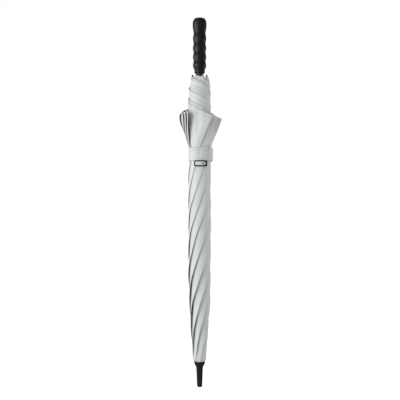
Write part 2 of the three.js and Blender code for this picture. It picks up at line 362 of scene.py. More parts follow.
def squeeze(azimuth, z):
    """How far the strap pulls the left side of the roll in."""
    near_strap = np.exp(-(((z - STRAP_MIDDLE_Z) / SQUEEZE_REACH) ** 2))
    return SQUEEZE_DEPTH * np.clip(-np.cos(azimuth), 0, 1) ** 2 * near_strap


def waves(table, azimuth, z):
    """Sum of waves that run round the roll and along it."""
    return sum(
        height * np.sin(count * azimuth + z / length + phase) for height, count, length, phase in table
    )


def ripple(azimuth, z):
    """Soft unevenness of the whole roll, the same for every layer at a place."""
    held = 1 - 0.8 * smoothstep(1 - np.abs(z - HELD_Z) / HELD_REACH)
    above_cap = smoothstep((z - ROLL_OUTLINE[0][0]) / 60)
    loose = smoothstep((z - FOLDS_LOW_Z) / 60) * (1 - smoothstep((z - FOLDS_HIGH_Z) / 25))
    body = waves(BODY_WAVES, azimuth, z) * held * above_cap
    return body + waves(FOLD_WAVES, azimuth, z) * loose - valleys(azimuth, z) - squeeze(azimuth, z)


def valleys(azimuth, z):
    """Hollows between the rib tips, deepest beside the tip at the front right."""
    from_middle = (azimuth - AZIMUTHS[0] - HALF_STEP) * RIB_COUNT
    from_deep = np.sin((azimuth - math.radians(DEEP_VALLEY_DEG)) / 2)
    depth = VALLEY_DEPTH + DEEP_VALLEY * np.exp(-((from_deep / 0.16) ** 2))
    rise = smoothstep((z - VALLEY_START_Z) / (TIP_Z - 3 - VALLEY_START_Z))
    return depth * (0.5 + 0.5 * np.cos(from_middle)) ** 1.5 * rise


def rolled_points(number, side, s, share):
    """Cloth points of half a gore in the roll. side 0 starts on rib `number`, side 1 on the next."""
    z, length = flat_place(s, share)
    flap = FLAPS[number]
    radius, turn = flap.at(z, length)
    reach = np.interp(z, flap.heights, flap.reach)
    from_edge = np.clip((reach - length) / ROUNDING, 0, 1)
    layer = SHEET_GAP * smoothstep(length / 12) * np.sqrt(1 - (1 - from_edge) ** 2)
    beside_edge = np.sin(math.pi * np.clip((reach - length) / SWELL_WIDTH, 0, 1))
    swell = SWELL * beside_edge * smoothstep((reach - 20) / 30)
    lip = np.clip(1 - (hem_place(share) - s) / 13, 0, 1) ** 2 * smoothstep(length / 25)
    radius = radius + swell + HEM_LIP * lip - side * layer
    back = STEP - turn if side else turn
    azimuth = AZIMUTHS[number] + np.where(turn < HALF_STEP, back, turn) + twist(z, length)
    radius = radius + ripple(azimuth, z)
    z = z + flap.lift * smoothstep((z - SKIRT_Z) / (CORNER_Z - SKIRT_Z)) * share ** 6
    return polar(radius, azimuth, z)


def crown_points(number, side, t, share):
    """Cloth points between the crown hole, t = 0, and the roll's first row, t = 1."""
    radii, heights = np.array(CROWN_PATH).T
    way = np.linspace(0, 1, len(CROWN_PATH))
    first = rolled_points(number, side, np.full_like(t, SEAM_START), share)
    radius = np.interp(t, way, radii)
    z = np.interp(t, way, heights)
    across = (2 - share if side else share) / 2
    azimuth = AZIMUTHS[number] + STEP * across
    to_first = first - polar(radii[-1], azimuth, heights[-1])
    return polar(radius, azimuth, z) + to_first * (t ** 3)[..., None]


def rib_directions(opening):
    """(along, inner) as (radial, upward) parts, for a rib opened by an angle."""
    angle = opening + LEAN
    return (math.sin(angle), math.cos(angle)), (-math.cos(angle), math.sin(angle))


def rib_line(azimuth, s, opening, bow, stand_off):
    """Points of the line `stand_off` outside a rib that is opened and bowed."""
    along, inner = rib_directions(opening)
    bend = bow * RIB_BEND * s * (s - ARM) - stand_off
    radius = HINGE_R + s * along[0] + bend * inner[0]
    z = HUB_Z + s * along[1] + bend * inner[1]
    return polar(radius, azimuth, z)


def open_points(number, side, s, share, opening, bow):
    """Cloth points of half a gore stretched between its two opened ribs."""
    across = (2 - share if side else share) / 2
    start = AZIMUTHS[number]
    stand_off = ROD_R + 1.2
    first = rib_line(start, s, opening, bow, stand_off)
    second = rib_line(start + STEP, s, opening, bow, stand_off)
    flat = first + (second - first) * across[..., None]
    inner = rib_directions(opening)[1]
    chord = np.linalg.norm(second - first, axis=-1)
    sag = OPEN_SAG * chord * 4 * across * (1 - across) * bow
    return flat + sag[..., None] * polar(inner[0], start + HALF_STEP, inner[1])


# ---- mesh helpers ----


def grid_faces(rows, columns, closed_rows=False, closed_columns=False):
    """Quads between neighbouring points of a grid that is numbered row by row."""
    number = np.arange(rows * columns).reshape(rows, columns)
    if closed_rows:
        number = np.vstack([number, number[:1]])
    if closed_columns:
        number = np.hstack([number, number[:, :1]])
    quads = number[:-1, :-1], number[:-1, 1:], number[1:, 1:], number[1:, :-1]
    return np.stack([corner.ravel() for corner in quads], axis=1)


def add_object(name, data):
    """A new object in the scene."""
    made = bpy.data.objects.new(name, data)
    bpy.context.scene.collection.objects.link(made)
    return made


def mesh_object(name, points, faces, smooth_degrees=180):
    """A mesh from points in millimetres, shaded smooth up to an angle between faces."""
    mesh = bpy.data.meshes.new(name)
    mesh.from_pydata((np.asarray(points).reshape(-1, 3) * MM).tolist(), [], np.asarray(faces).tolist())
    mesh.shade_smooth()
    if smooth_degrees < 180:
        mesh.set_sharp_from_angle(angle=math.radians(smooth_degrees))
    return add_object(name, mesh)


def tidy_mesh(made):
    """Joins points that lie on each other, closes open ends and turns every face outwards."""
    work = bmesh.new()
    work.from_mesh(made.data)
    bmesh.ops.remove_doubles(work, verts=work.verts, dist=0.01 * MM)
    bmesh.ops.holes_fill(work, edges=[edge for edge in work.edges if edge.is_boundary])
    bmesh.ops.recalc_face_normals(work, faces=work.faces)
    work.to_mesh(made.data)
    work.free()
    return made


def store(made, name, values, vectors=False):
    """Stores a number or a vector for each point of a mesh, given in millimetres."""
    kind, field = ("FLOAT_VECTOR", "vector") if vectors else ("FLOAT", "value")
    flat = (np.asarray(values) * MM).astype(np.float32).ravel()
    made.data.attributes.new(name, kind, "POINT").data.foreach_set(field, flat)


def store_cloth(made, cloth, hem, along):
    """Stores each point's place in the flat cloth, how far it is from the hem, and how far along."""
    store(made, "cloth", cloth, True)
    store(made, "hem", hem)
    store(made, "along", along)


def rounded(corners, steps):
    """An outline from (x, y, radius) corners, each rounded by an arc of that radius."""
    points = np.array(corners, float)[:, :2]
    outline = []
    for index, here in enumerate(points):
        radius = corners[index][2]
        if radius <= 0:
            outline.append(here)
            continue
        before, after = points[index - 1] - here, points[(index + 1) % len(points)] - here
        a, b = np.linalg.norm(before), np.linalg.norm(after)
        half = math.acos(np.clip(before @ after / (a * b), -1, 1)) / 2
        reach = min(radius / math.tan(half), 0.45 * a, 0.45 * b)
        for t in np.linspace(0, 1, steps + 1):
            outline.append(here + before / a * reach * (1 - t) ** 2 + after / b * reach * t ** 2)
    return outline


def turned(name, corners, segments):
    """A closed ring about Z from (radius, height, rounding) corners, in millimetres."""
    radius, z = np.array(rounded(corners, 5)).T
    points = polar(radius, around(segments)[:, None], z)
    made = tidy_mesh(mesh_object(name, points, grid_faces(segments, len(z), True, True)))
    made.data.shade_smooth()
    made.data.set_sharp_from_angle(angle=math.radians(40))
    return made


def place(made, body, slot, *replaced):
    """Gives a finished piece its body and its slot's material, and hides the CAD nodes that it stands for."""
    made.data.materials.clear()
    made.data.materials.append(MATERIALS[slot])
    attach(made, body)
    if replaced:
        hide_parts(*replaced)
    return made


# ---- the opening movement ----


def feed(tree, value, socket):
    """Links another node's output to a socket, or sets the socket to a number or colour."""
    if isinstance(value, bpy.types.NodeSocket):
        tree.links.new(value, socket)
    else:
        socket.default_value = value


def math_node(tree, operation, *values, clamp=False):
    """The output of a new math node that is fed with the values."""
    made = tree.nodes.new("ShaderNodeMath")
    made.operation = operation
    made.use_clamp = clamp
    for socket, value in zip(made.inputs, values):
        feed(tree, value, socket)
    return made.outputs[0]


def vector_node(tree, operation, *vectors, **others):
    """The output of a new vector math node that is fed with vectors and with named values."""
    made = tree.nodes.new("ShaderNodeVectorMath")
    made.operation = operation
    for socket, value in zip(made.inputs, vectors):
        feed(tree, value, socket)
    for name, value in others.items():
        feed(tree, value, made.inputs[name])
    return made.outputs[0]


def geometry_group(name):
    """An empty geometry group: its tree, where geometry comes in and where it goes out."""
    tree = bpy.data.node_groups.new(name, "GeometryNodeTree")
    for way in ("INPUT", "OUTPUT"):
        tree.interface.new_socket("Geometry", in_out=way, socket_type="NodeSocketGeometry")
    start, end = tree.nodes.new("NodeGroupInput"), tree.nodes.new("NodeGroupOutput")
    return tree, start.outputs[0], end.inputs[0]


def runner_share(tree):
    """How far the umbrella is open, 0 to 1, from how far the runner has slid."""
    runner = tree.nodes.new("GeometryNodeObjectInfo")
    runner.transform_space = "ORIGINAL"
    runner.inputs["Object"].default_value = frame["bodies"]["runner"]
    split = tree.nodes.new("ShaderNodeSeparateXYZ")
    tree.links.new(runner.outputs["Location"], split.inputs[0])
    cosine = math_node(tree, "MULTIPLY_ADD", split.outputs["Z"], 1 / (2 * ARM * MM), 1.0)
    angle = math_node(tree, "ARCCOSINE", math_node(tree, "MINIMUM", cosine, 1.0))
    return math_node(tree, "DIVIDE", angle, OPEN_ANGLE, clamp=True)


def opening_group():
    """Moves points by two stored vectors as the runner slides from closed, 0, to open, 1."""
    tree, start, end = geometry_group("opening")
    opened = runner_share(tree)
    left = math_node(tree, "SUBTRACT", 1.0, opened)
    halfway = math_node(tree, "MULTIPLY", math_node(tree, "MULTIPLY", left, opened), 4.0)
    shift = tree.nodes.new("GeometryNodeSetPosition")
    tree.links.new(start, shift.inputs["Geometry"])
    offsets = []
    for name, weight in (("open_by", opened), ("arc_by", halfway)):
        stored = tree.nodes.new("GeometryNodeInputNamedAttribute")
        stored.data_type = "FLOAT_VECTOR"
        stored.inputs["Name"].default_value = name
        offsets.append(vector_node(tree, "SCALE", stored.outputs["Attribute"], Scale=weight))
    feed(tree, vector_node(tree, "ADD", *offsets), shift.inputs["Offset"])
    tree.links.new(shift.outputs[0], end)
    return tree


OPENING = opening_group()


def opens(made, open_by, arc_by=None):
    """Makes a piece follow the opening, by offsets in millimetres for each point."""
    store(made, "open_by", open_by, True)
    if arc_by is not None:
        store(made, "arc_by", arc_by, True)
    modifier = made.modifiers.new("opening", "NODES")
    modifier.node_group = OPENING


# ---- materials ----


class Shader:
    """A node material with a Principled surface, made up from short calls."""

    def __init__(self, name, **surface):
        self.material = bpy.data.materials.new(name)
        self.material.use_nodes = True
        self.tree = self.material.node_tree
        self.surface = self.tree.nodes["Principled BSDF"]
        for key, value in surface.items():
            self.surface.inputs[key.replace("_", " ")].default_value = value
        self.coordinates = self.tree.nodes.new("ShaderNodeTexCoord").outputs["Object"]

    def node(self, kind, inputs=None, **settings):
        made = self.tree.nodes.new(kind)
        for key, value in settings.items():
            setattr(made, key, value)
        for key, value in (inputs or {}).items():
            feed(self.tree, value, made.inputs[key])
        return made

    def stored(self, name):
        return self.node("ShaderNodeAttribute", attribute_name=name).outputs

    def noise(self, size_mm, detail=3, stretch=(1, 1, 1), vector=None):
        """Noise from 0 to 1 whose patches are about size_mm across."""
        mapped = self.node("ShaderNodeMapping", {"Vector": vector or self.coordinates, "Scale": stretch})
        inputs = {"Vector": mapped.outputs[0], "Scale": 1 / (size_mm * MM), "Detail": detail}
        return self.node("ShaderNodeTexNoise", inputs).outputs["Fac"]

    def cells(self, size_mm):
        """Distance from the middle of the nearest of many small cells."""
        inputs = {"Vector": self.coordinates, "Scale": 1 / (size_mm * MM)}
        return self.node("ShaderNodeTexVoronoi", inputs).outputs["Distance"]

    def wear(self, low, high):
        """0 on flat and hollow places, 1 on edges."""
        return self.ramp(self.node("ShaderNodeNewGeometry").outputs["Pointiness"], 0.0, 1.0, low, high)

    def ramp(self, value, low, high, start, end):
        """Maps start..end to low..high, and no further."""
        inputs = {"Value": value, "From Min": start, "From Max": end, "To Min": low, "To Max": high}
        return self.node("ShaderNodeMapRange", inputs).outputs[0]

    def mix(self, factor, first, second):
        made = self.node("ShaderNodeMix", data_type="RGBA")
        for index, value in ((0, factor), (6, first), (7, second)):
            feed(self.tree, (*value, 1) if isinstance(value, tuple) else value, made.inputs[index])
        return made.outputs[2]

    def calc(self, operation, *values):
        return math_node(self.tree, operation, *values)

    def bumps(self, *layers):
        """Bump nodes in a chain, from (height, depth in millimetres) pairs."""
        normal = None
        for height, depth in layers:
            inputs = {"Height": height, "Distance": depth * MM, "Strength": 1.0}
            if normal:
                inputs["Normal"] = normal
            normal = self.node("ShaderNodeBump", inputs).outputs[0]
        self.tree.links.new(normal, self.surface.inputs["Normal"])

    def finish(self, colour, roughness):
        feed(self.tree, colour, self.surface.inputs["Base Color"])
        feed(self.tree, roughness, self.surface.inputs["Roughness"])
        return self.material


def woven(made, cloth):
    """Height of a plain weave: two sets of threads across each other."""
    thread = 0.314 / (0.42 * MM)
    weave = []
    for direction in ("X", "Y"):
        inputs = {"Vector": cloth, "Scale": thread, "Distortion": 0.6, "Detail": 1.0}
        wave = made.node("ShaderNodeTexWave", inputs, bands_direction=direction)
        weave.append(wave.outputs["Fac"])
    return made.calc("MULTIPLY", *weave)


def stitched(made, hem):
    """1 on the threads of the two rows of stitches that run along a hem."""
    along = made.stored("along")["Fac"]
    dash = made.calc("LESS_THAN", made.calc("FRACT", made.calc("DIVIDE", along, 2.6 * MM)), 0.72)
    rows = []
    for offset in (1.4, 7.2):
        off = made.calc("ABSOLUTE", made.calc("SUBTRACT", hem, offset * MM))
        rows.append(made.calc("LESS_THAN", off, 0.32 * MM))
    return made.calc("MULTIPLY", made.calc("MAXIMUM", *rows), dash)


def fabric_material():
    """Silver-grey pongee: fine plain weave, stitched hem, and a soft sheen."""
    made = Shader("pongee", Sheen_Weight=0.12, Sheen_Roughness=0.45, Specular_IOR_Level=0.28)
    cloth = made.stored("cloth")["Vector"]
    hem = made.stored("hem")["Fac"]
    plain = woven(made, cloth)
    stitch = stitched(made, hem)
    slub = made.noise(1.6, 2, (1, 0.06, 1), cloth)
    cloudy = made.ramp(made.noise(38, 4), 0.0, 1.0, 0.35, 0.65)
    band = made.ramp(hem, 1.0, 0.0, 7.8 * MM, 8.3 * MM)
    near_hem = made.ramp(hem, 1.0, 0.0, 5 * MM, 14 * MM)
    pucker = made.calc("MULTIPLY", near_hem, made.noise(5, 2, (1, 0.3, 1), cloth))
    grey = made.mix(cloudy, (0.445, 0.458, 0.460), (0.480, 0.493, 0.493))
    grey = made.mix(made.ramp(slub, 0.0, 0.35, 0.5, 0.75), grey, (0.52, 0.53, 0.53))
    grey = made.mix(made.calc("MULTIPLY", plain, 0.25), grey, (0.39, 0.40, 0.41))
    grey = made.mix(made.calc("MULTIPLY", stitch, 0.6), grey, (0.28, 0.29, 0.295))
    creases = made.noise(16, 3)
    made.bumps((creases, 0.35), (pucker, 0.4), (band, 0.25), (slub, 0.02), (plain, 0.035), (stitch, 0.12))
    return made.finish(grey, made.ramp(made.noise(9, 3), 0.50, 0.64, 0.3, 0.7))


def foam_material():
    """Black EVA foam: closed pores, a skin rubbed smoother on the ridges."""
    made = Shader("eva_foam", Specular_IOR_Level=0.34)
    pore = made.ramp(made.cells(0.9), 0.0, 1.0, 0.10, 0.42)
    skin = made.noise(3.2, 5)
    rubbed = made.wear(0.49, 0.53)
    black = made.mix(skin, (0.0028, 0.0034, 0.0042), (0.0060, 0.0070, 0.0082))
    black = made.mix(made.calc("MULTIPLY", rubbed, 0.4), black, (0.014, 0.016, 0.018))
    made.bumps((made.noise(11, 2), 0.25), (skin, 0.12), (pore, 0.07))
    rough = made.calc("SUBTRACT", made.ramp(skin, 0.38, 0.52, 0.3, 0.7), made.calc("MULTIPLY", rubbed, 0.06))
    return made.finish(black, rough)


def plastic_material(name, dark, light, rough=(0.36, 0.50)):
    """Moulded black nylon: spark-eroded grain, faint flow marks and edges rubbed pale."""
    made = Shader(name, Specular_IOR_Level=0.34)
    grain = made.noise(0.35, 2)
    flow = made.noise(14, 4, (1, 1, 0.4))
    worn = made.calc("MULTIPLY", made.wear(0.53, 0.60), made.noise(2.2, 4))
    black = made.mix(flow, dark, light)
    black = made.mix(made.calc("MULTIPLY", worn, 0.7), black, tuple(3.2 * part for part in light))
    made.bumps((flow, 0.03), (grain, 0.018))
    return made.finish(black, made.ramp(flow, *rough, 0.3, 0.7))


def fibreglass_material(name, dark, light):
    """Pultruded glass fibre: streaks along its length under a satin coat."""
    made = Shader(name, Specular_IOR_Level=0.5, Coat_Weight=0.25, Coat_Roughness=0.22)
    streak = made.noise(1.1, 4, (1, 1, 0.02))
    made.bumps((streak, 0.03))
    rough = made.ramp(made.noise(6, 5, (1, 1, 0.3)), 0.24, 0.42, 0.35, 0.65)
    return made.finish(made.mix(streak, dark, light), rough)


def metal_material(name, dark, light, grain=(1, 1, 1)):
    """Plated metal: fine drawing lines, and dull patches where it is handled."""
    made = Shader(name, Metallic=1.0)
    lines = made.noise(0.5, 4, grain)
    made.bumps((lines, 0.012))
    return made.finish(made.mix(made.noise(3, 4), dark, light), made.ramp(lines, 0.22, 0.40, 0.3, 0.7))


def rubber_material():
    """Soft moulded rubber, matt with a fine leathery grain."""
    made = Shader("tab_rubber", Specular_IOR_Level=0.3)
    dust = made.noise(5, 5)
    made.bumps((made.cells(0.5), 0.03), (dust, 0.02))
    black = made.mix(dust, (0.004, 0.0048, 0.0055), (0.010, 0.011, 0.012))
    return made.finish(black, made.ramp(dust, 0.5, 0.66, 0.3, 0.7))


def film_material():
    """Pale reflective film in the tab: a fine embossed net under a clear face."""
    made = Shader("pale_film", Specular_IOR_Level=0.6, Coat_Weight=0.3, Coat_Roughness=0.12)
    cell = made.ramp(made.cells(0.8), 0.0, 1.0, 0.1, 0.6)
    pale = made.mix(cell, (0.56, 0.58, 0.59), (0.47, 0.49, 0.50))
    made.bumps((cell, 0.03), (made.noise(4, 3), 0.04))
    return made.finish(pale, made.ramp(made.noise(2, 3), 0.26, 0.42, 0.3, 0.7))


MATERIALS = {
    "canopy_fabric": fabric_material(),
    "shaft_fibreglass": fibreglass_material("shaft_fibreglass", (0.008, 0.009, 0.010), (0.020, 0.021, 0.023)),
    "rib_fibreglass": fibreglass_material("rib_fibreglass", (0.007, 0.008, 0.009), (0.024, 0.025, 0.027)),
    "black_plastic": plastic_material("black_nylon", (0.006, 0.0075, 0.009), (0.013, 0.015, 0.017)),
    "grip_foam": foam_material(),
    "hinge_wire": metal_material("steel_wire", (0.42, 0.43, 0.44), (0.60, 0.61, 0.62), (1, 1, 0.2)),
    "tab_rubber": rubber_material(),
    "tab_inset": film_material(),
    "snap_metal": metal_material("dark_nickel", (0.10, 0.10, 0.11), (0.20, 0.20, 0.21)),
}

# ---- canopy ----

HALF_COLUMNS = 46
CROWN_ROWS = 9
BODY_ROWS = 124
GORE_SPACING = 700  # between the gores' weaves, so that no two are alike


def canopy_columns():
    """(flap number, side, share) of each column of the cloth, once round the umbrella."""
    fine = 1 - (1 - np.linspace(0, 1, HALF_COLUMNS + 1)) ** 1.7
    columns = []
    for number in range(RIB_COUNT):
        columns += [(number, 0, share) for share in fine[:-1]]
        columns += [(number, 1, share) for share in fine[:0:-1]]
    return columns


def canopy_rows():
    """How far down the cloth each row lies: 0 on the first rolled row and 1 on the hem."""
    even = np.linspace(0, 1, BODY_ROWS)
    return even + 0.035 * np.sin(TURN * even)


def canopy_column(number, side, share):
    """One column of cloth: its rolled, half-open and open points, and its stored values."""
    crown = np.linspace(0, 1, CROWN_ROWS + 1)[:-1]
    hem_s = hem_place(share)
    body_s = SEAM_START + canopy_rows() * (hem_s - SEAM_START)
    top = crown_points(number, side, crown, np.full_like(crown, share))
    body = rolled_points(number, side, body_s, np.full_like(body_s, share))
    rolled = np.concatenate([top, body])
    s = np.concatenate([HOLE_S + crown * (SEAM_START - HOLE_S), body_s])
    shares = np.full_like(s, share)
    held = smoothstep(np.concatenate([crown, np.ones_like(body_s)]) * 1.6 - 0.5)[:, None]
    shapes = [rolled]
    for opening, bow in ((OPEN_ANGLE / 2, 0.5), (OPEN_ANGLE, 1.0)):
        flat = open_points(number, side, s, shares, opening, bow)
        shapes.append(rolled + (flat - rolled) * held)
    across = (2 - share if side else share) * half_chord(s)
    cloth = np.stack([across + GORE_SPACING * number, s, 0 * s], axis=-1)
    along = (2 * number + (2 - share if side else share)) * half_chord(hem_s)
    return *shapes, cloth, hem_s - s, np.full_like(s, along)


def make_canopy():
    """The eight gores as one sheet of cloth, rolled, which opens with the runner."""
    columns = [canopy_column(*column) for column in canopy_columns()]
    rolled, halfway, opened, cloth, hem, along = (np.stack(part, axis=1) for part in zip(*columns))
    faces = grid_faces(*rolled.shape[:2], closed_columns=True)
    made = mesh_object("canopy_cloth", rolled, faces)
    store_cloth(made, cloth, hem, along)
    opens(made, opened - rolled, halfway - (opened + rolled) / 2)
    return place(made, "shaft", "canopy_fabric", "canopy")


canopy = make_canopy()

# ---- ribs, their tips and pockets ----

ROD_START = 8
ROD_END = 756
POCKET_PROFILE = [(728, 4.6), (735, 4.2), (744, 3.4), (752, 3.1), (757.2, 3.0)]  # (s, radius)
POCKET_MIDDLE_R = 3.4
POCKET_THICK = 0.35
POCKET_SEGMENTS = 24


def rib_axes(number):
    """A closed rib's hinge point, its direction and its inner side, as vectors."""
    azimuth = AZIMUTHS[number]
    out = polar(1, azimuth, 0)
    along, inner = rib_directions(0)
    up = np.array([0, 0, 1])
    return out * HINGE_R + up * HUB_Z, out * along[0] + up * along[1], out * inner[0] + up * inner[1]


def along_rib(name, number, stations, segments):
    """A round piece on a rib from (s, radius) stations, which bows with the open rib."""
    hinge, along, inner = rib_axes(number)
    side = np.cross(along, inner)
    s, radius = np.array(stations, float).T
    angle = around(segments)[:, None]
    ring = inner * np.cos(angle) + side * np.sin(angle)
    points = hinge + s[:, None, None] * along + radius[:, None, None] * ring[None]
    made = mesh_object(name, points, grid_faces(len(s), segments, closed_columns=True), 50)
    bow = np.where(s > ROD_START, RIB_BEND * s * (s - ARM), 0)
    opens(made, np.broadcast_to(bow[:, None, None] * inner, points.shape))
    return made


def rod_stations():
    """A straight rod with slightly rounded ends."""
    middle = [(s, ROD_R) for s in np.linspace(ROD_START + 0.3, ROD_END - 0.3, 76)]
    return [(ROD_START, 0.01), (ROD_START, ROD_R - 0.3), *middle, (ROD_END, ROD_R - 0.3), (ROD_END, 0.01)]


def tip_stations():
    """A moulded cap: a ball on a waisted sleeve with two rings."""
    sleeve = [
        (748, 2.15), (748, 2.55), (749, 2.7), (750, 2.7),
        (750.4, 2.45), (753, 2.45), (753.4, 2.7), (754.6, 2.7),
    ]
    ball = [(755, 2.3), (756, 2.2)]
    for step in range(9):
        angle = math.pi * (0.22 + 0.78 * step / 8)
        ball.append((759.2 - 2.8 * math.cos(angle), max(2.75 * math.sin(angle), 0.01)))
    return sleeve + ball


def rib_eye(number):
    """The flat pierced end of a rod, on the hub's wire."""
    hinge, along, inner = rib_axes(number)
    side = np.cross(along, inner)
    outline = []
    for step in range(15):
        angle = math.pi * (0.22 + 1.56 * step / 14)
        outline.append((2.4 * math.cos(angle), 2.4 * math.sin(angle)))
    outline += [(ROD_START + 3, -1.35), (ROD_START + 3, 1.35)]
    hole = [(0.85 * math.cos(angle), 0.85 * math.sin(angle)) for angle in around(len(outline))]
    rings = [(hole, -1), (outline, -1), (outline, 1), (hole, 1)]
    points = [[hinge + along * a + inner * b + side * h for a, b in ring] for ring, h in rings]
    faces = grid_faces(len(rings), len(outline), True, True)
    return tidy_mesh(mesh_object(f"rib_eye_{number + 1}", points, faces, 35))


def make_ribs():
    """Each rib's rod, its eye at the hub, its tip and the pocket that holds the tip."""
    for number in range(RIB_COUNT):
        label = number + 1
        body = f"rib_{label}"
        rod = along_rib(f"rib_rod_{label}", number, rod_stations(), 16)
        place(rod, body, "rib_fibreglass", f"rib_{label}")
        place(rib_eye(number), body, "rib_fibreglass")
        tip = along_rib(f"rib_end_{label}", number, tip_stations(), 20)
        place(tip, body, "black_plastic", f"rib_tip_{label}")
        make_pocket(number)


def make_pocket(number):
    """The little fabric cone that holds a rib's tip at the hem."""
    s, radius = np.array(POCKET_PROFILE).T
    fine = np.linspace(s[0], s[-1], 14)
    outside = np.interp(fine, s, radius)
    stations = list(zip(fine, outside)) + list(zip(fine[::-1], outside[::-1] - POCKET_THICK))
    stations.append(stations[0])
    made = along_rib(f"tip_pocket_{number + 1}", number, stations, POCKET_SEGMENTS)
    depth = np.repeat([place_s for place_s, _ in stations], POCKET_SEGMENTS)
    across = np.tile(around(POCKET_SEGMENTS) * POCKET_MIDDLE_R, len(stations))
    cloth = np.stack([across, depth, 0 * depth], axis=-1)
    store_cloth(made, cloth, POCKET_PROFILE[-1][0] - depth, across)
    tidy_mesh(made)
    place(made, f"rib_{number + 1}", "canopy_fabric")


make_ribs()

# ---- strap and crown patch ----

STRAP_LOW = box("strap")[0][2]
STRAP_WIDTH = box("strap")[1][2] - STRAP_LOW
STRAP_COLUMNS = 150
STRAP_START_DEG = -18
STRAP_END_DEG = -404
STRAP_THICK = 1.1
STRAP_R = 31.3
STRAP_UNEVEN = 0.2
LAP_RISE = 1.3  # of the second turn over the first
LOOSE_RISE = 3.1  # of the slack at the right, which stands off the roll
LOOSE_DEG = -366
LOOSE_REACH_DEG = 22
HEM_PINCH = 0.16  # how much thinner the band is along its stitches
STRAP_WAVE = 0.25
PATCH_R = 17.3
PATCH_HEM = 9
PATCH_SEGMENTS = 120
# The opened strap's middle line: from the canopy past the tab, then hanging free.
STRAP_HANGS = [
    (17.5, -19.5, 0), (17.2, -25.2, 0), (12.5, -28.2, 1), (5.4, -30.4, 3), (-2.7, -30.8, 5),
    (-10.6, -29, 7.5), (-15.3, -26.9, 9.5), (-21, -28.6, 10), (-29.5, -35, 8), (-34.5, -46, 2),
    (-33.5, -61, -6), (-27.5, -78, -15), (-19, -97, -25), (-10, -117, -35), (-3, -138, -45),
    (3, -160, -56), (8, -183, -67),
]
# The ridge that the front flap's folded edge makes in the strap: its turn at the strap's two edges.
RIDGE_DEG = (-97.8, -83.5)
RIDGE_HEIGHT = 1.7
RIDGE_REACH_DEG = 28


def strap_middle_line(count):
    """The wound strap: (azimuth, radius), clockwise from its sewn end to its loose end."""
    t = np.linspace(0, 1, count)
    azimuth = np.radians(STRAP_START_DEG + (STRAP_END_DEG - STRAP_START_DEG) * t)
    uneven = STRAP_UNEVEN * np.sin(3 * azimuth + 0.4) ** 2
    lap = LAP_RISE * smoothstep((t - 0.84) / 0.09)
    loose = LOOSE_RISE * np.exp(-((np.degrees(azimuth) - LOOSE_DEG) / LOOSE_REACH_DEG) ** 2)
    return azimuth, STRAP_R + uneven + lap + loose - squeeze(azimuth, STRAP_MIDDLE_Z)


def strap_ridge(azimuth, height):
    """How far the strap stands out over the front flap's edge, clear of the tab below it."""
    low, high = RIDGE_DEG
    from_ridge = np.abs(np.degrees(azimuth) - low - (high - low) * height)
    rise = np.clip(1 - from_ridge / RIDGE_REACH_DEG, 0, 1) ** 2
    return RIDGE_HEIGHT * rise * smoothstep((height - 0.2) / 0.2)


def distances(line):
    """How far along a line of points each point lies."""
    return np.concatenate([[0], np.cumsum(np.linalg.norm(np.diff(line, axis=0), axis=1))])


def resample(points, lengths):
    """Places along a smooth line through the points, at the given distances."""
    points = np.array(points, float)
    slope = np.gradient(points, axis=0)
    fine = np.linspace(0, len(points) - 1, 600)
    low = np.clip(fine.astype(int), 0, len(points) - 2)
    u = (fine - low)[:, None]
    line = (1 - smoothstep(u)) * points[low] + smoothstep(u) * points[low + 1]
    line += u * (1 - u) ** 2 * slope[low] - u ** 2 * (1 - u) * slope[low + 1]
    way = distances(line)
    return np.stack([np.interp(lengths, way, line[:, axis]) for axis in range(3)], -1)


def strap_section():
    """The band's section: (offset outwards, height share) round its two faces and edges."""
    heights = np.linspace(0, 1, 16)
    outer = [(STRAP_THICK / 2, h) for h in heights]
    inner = [(-STRAP_THICK / 2, h) for h in heights[::-1]]
    return [*outer, (0, 1.012), *inner, (0, -0.012)]


def strap_points(line, lengths, ridge):
    """Points of the band along its middle line. ridge is 1 where it lies over the roll."""
    ahead = np.gradient(line, axis=0)
    side = np.stack([ahead[:, 1], -ahead[:, 0], 0 * ahead[:, 0]], -1)
    side /= np.linalg.norm(side, axis=1)[:, None]
    azimuth = strap_middle_line(len(line))[0]
    rows = []
    for offset, height in strap_section():
        from_edge = min(height, 1 - height)
        out = ridge * strap_ridge(azimuth, height)
        if offset:
            out = out + offset * (1 - HEM_PINCH * np.exp(-((from_edge - 0.05) / 0.035) ** 2))
        if offset > 0:
            out = out + STRAP_WAVE * np.sin(lengths / 17 + 4 * height)
        z = STRAP_LOW + STRAP_WIDTH * height
        rows.append(line + side * out[:, None] + np.array([0, 0, z]))
    return np.stack(rows, axis=1)


def make_strap():
    """The band round the roll, which hangs from its sewn end when the canopy opens."""
    azimuth, radius = strap_middle_line(STRAP_COLUMNS)
    middle = polar(radius, azimuth, 0)
    lengths = distances(middle)
    wound = strap_points(middle, lengths, 1)
    hanging = strap_points(resample(STRAP_HANGS, lengths), lengths, 0)
    made = mesh_object("strap_band", wound, grid_faces(*wound.shape[:2], closed_columns=True), 60)
    along = np.broadcast_to(lengths[:, None], wound.shape[:2])
    across = np.broadcast_to([height for _, height in strap_section()], wound.shape[:2])
    to_side = np.minimum(across, 1 - across) * STRAP_WIDTH
    to_edge = np.maximum(np.minimum(to_side, lengths[-1] - along), 0)
    store_cloth(made, np.stack([along, across * STRAP_WIDTH, 0 * along], axis=-1), to_edge, along)
    opens(made, hanging - wound)
    tidy_mesh(made)
    place(made, "rib_1", "canopy_fabric", "strap")


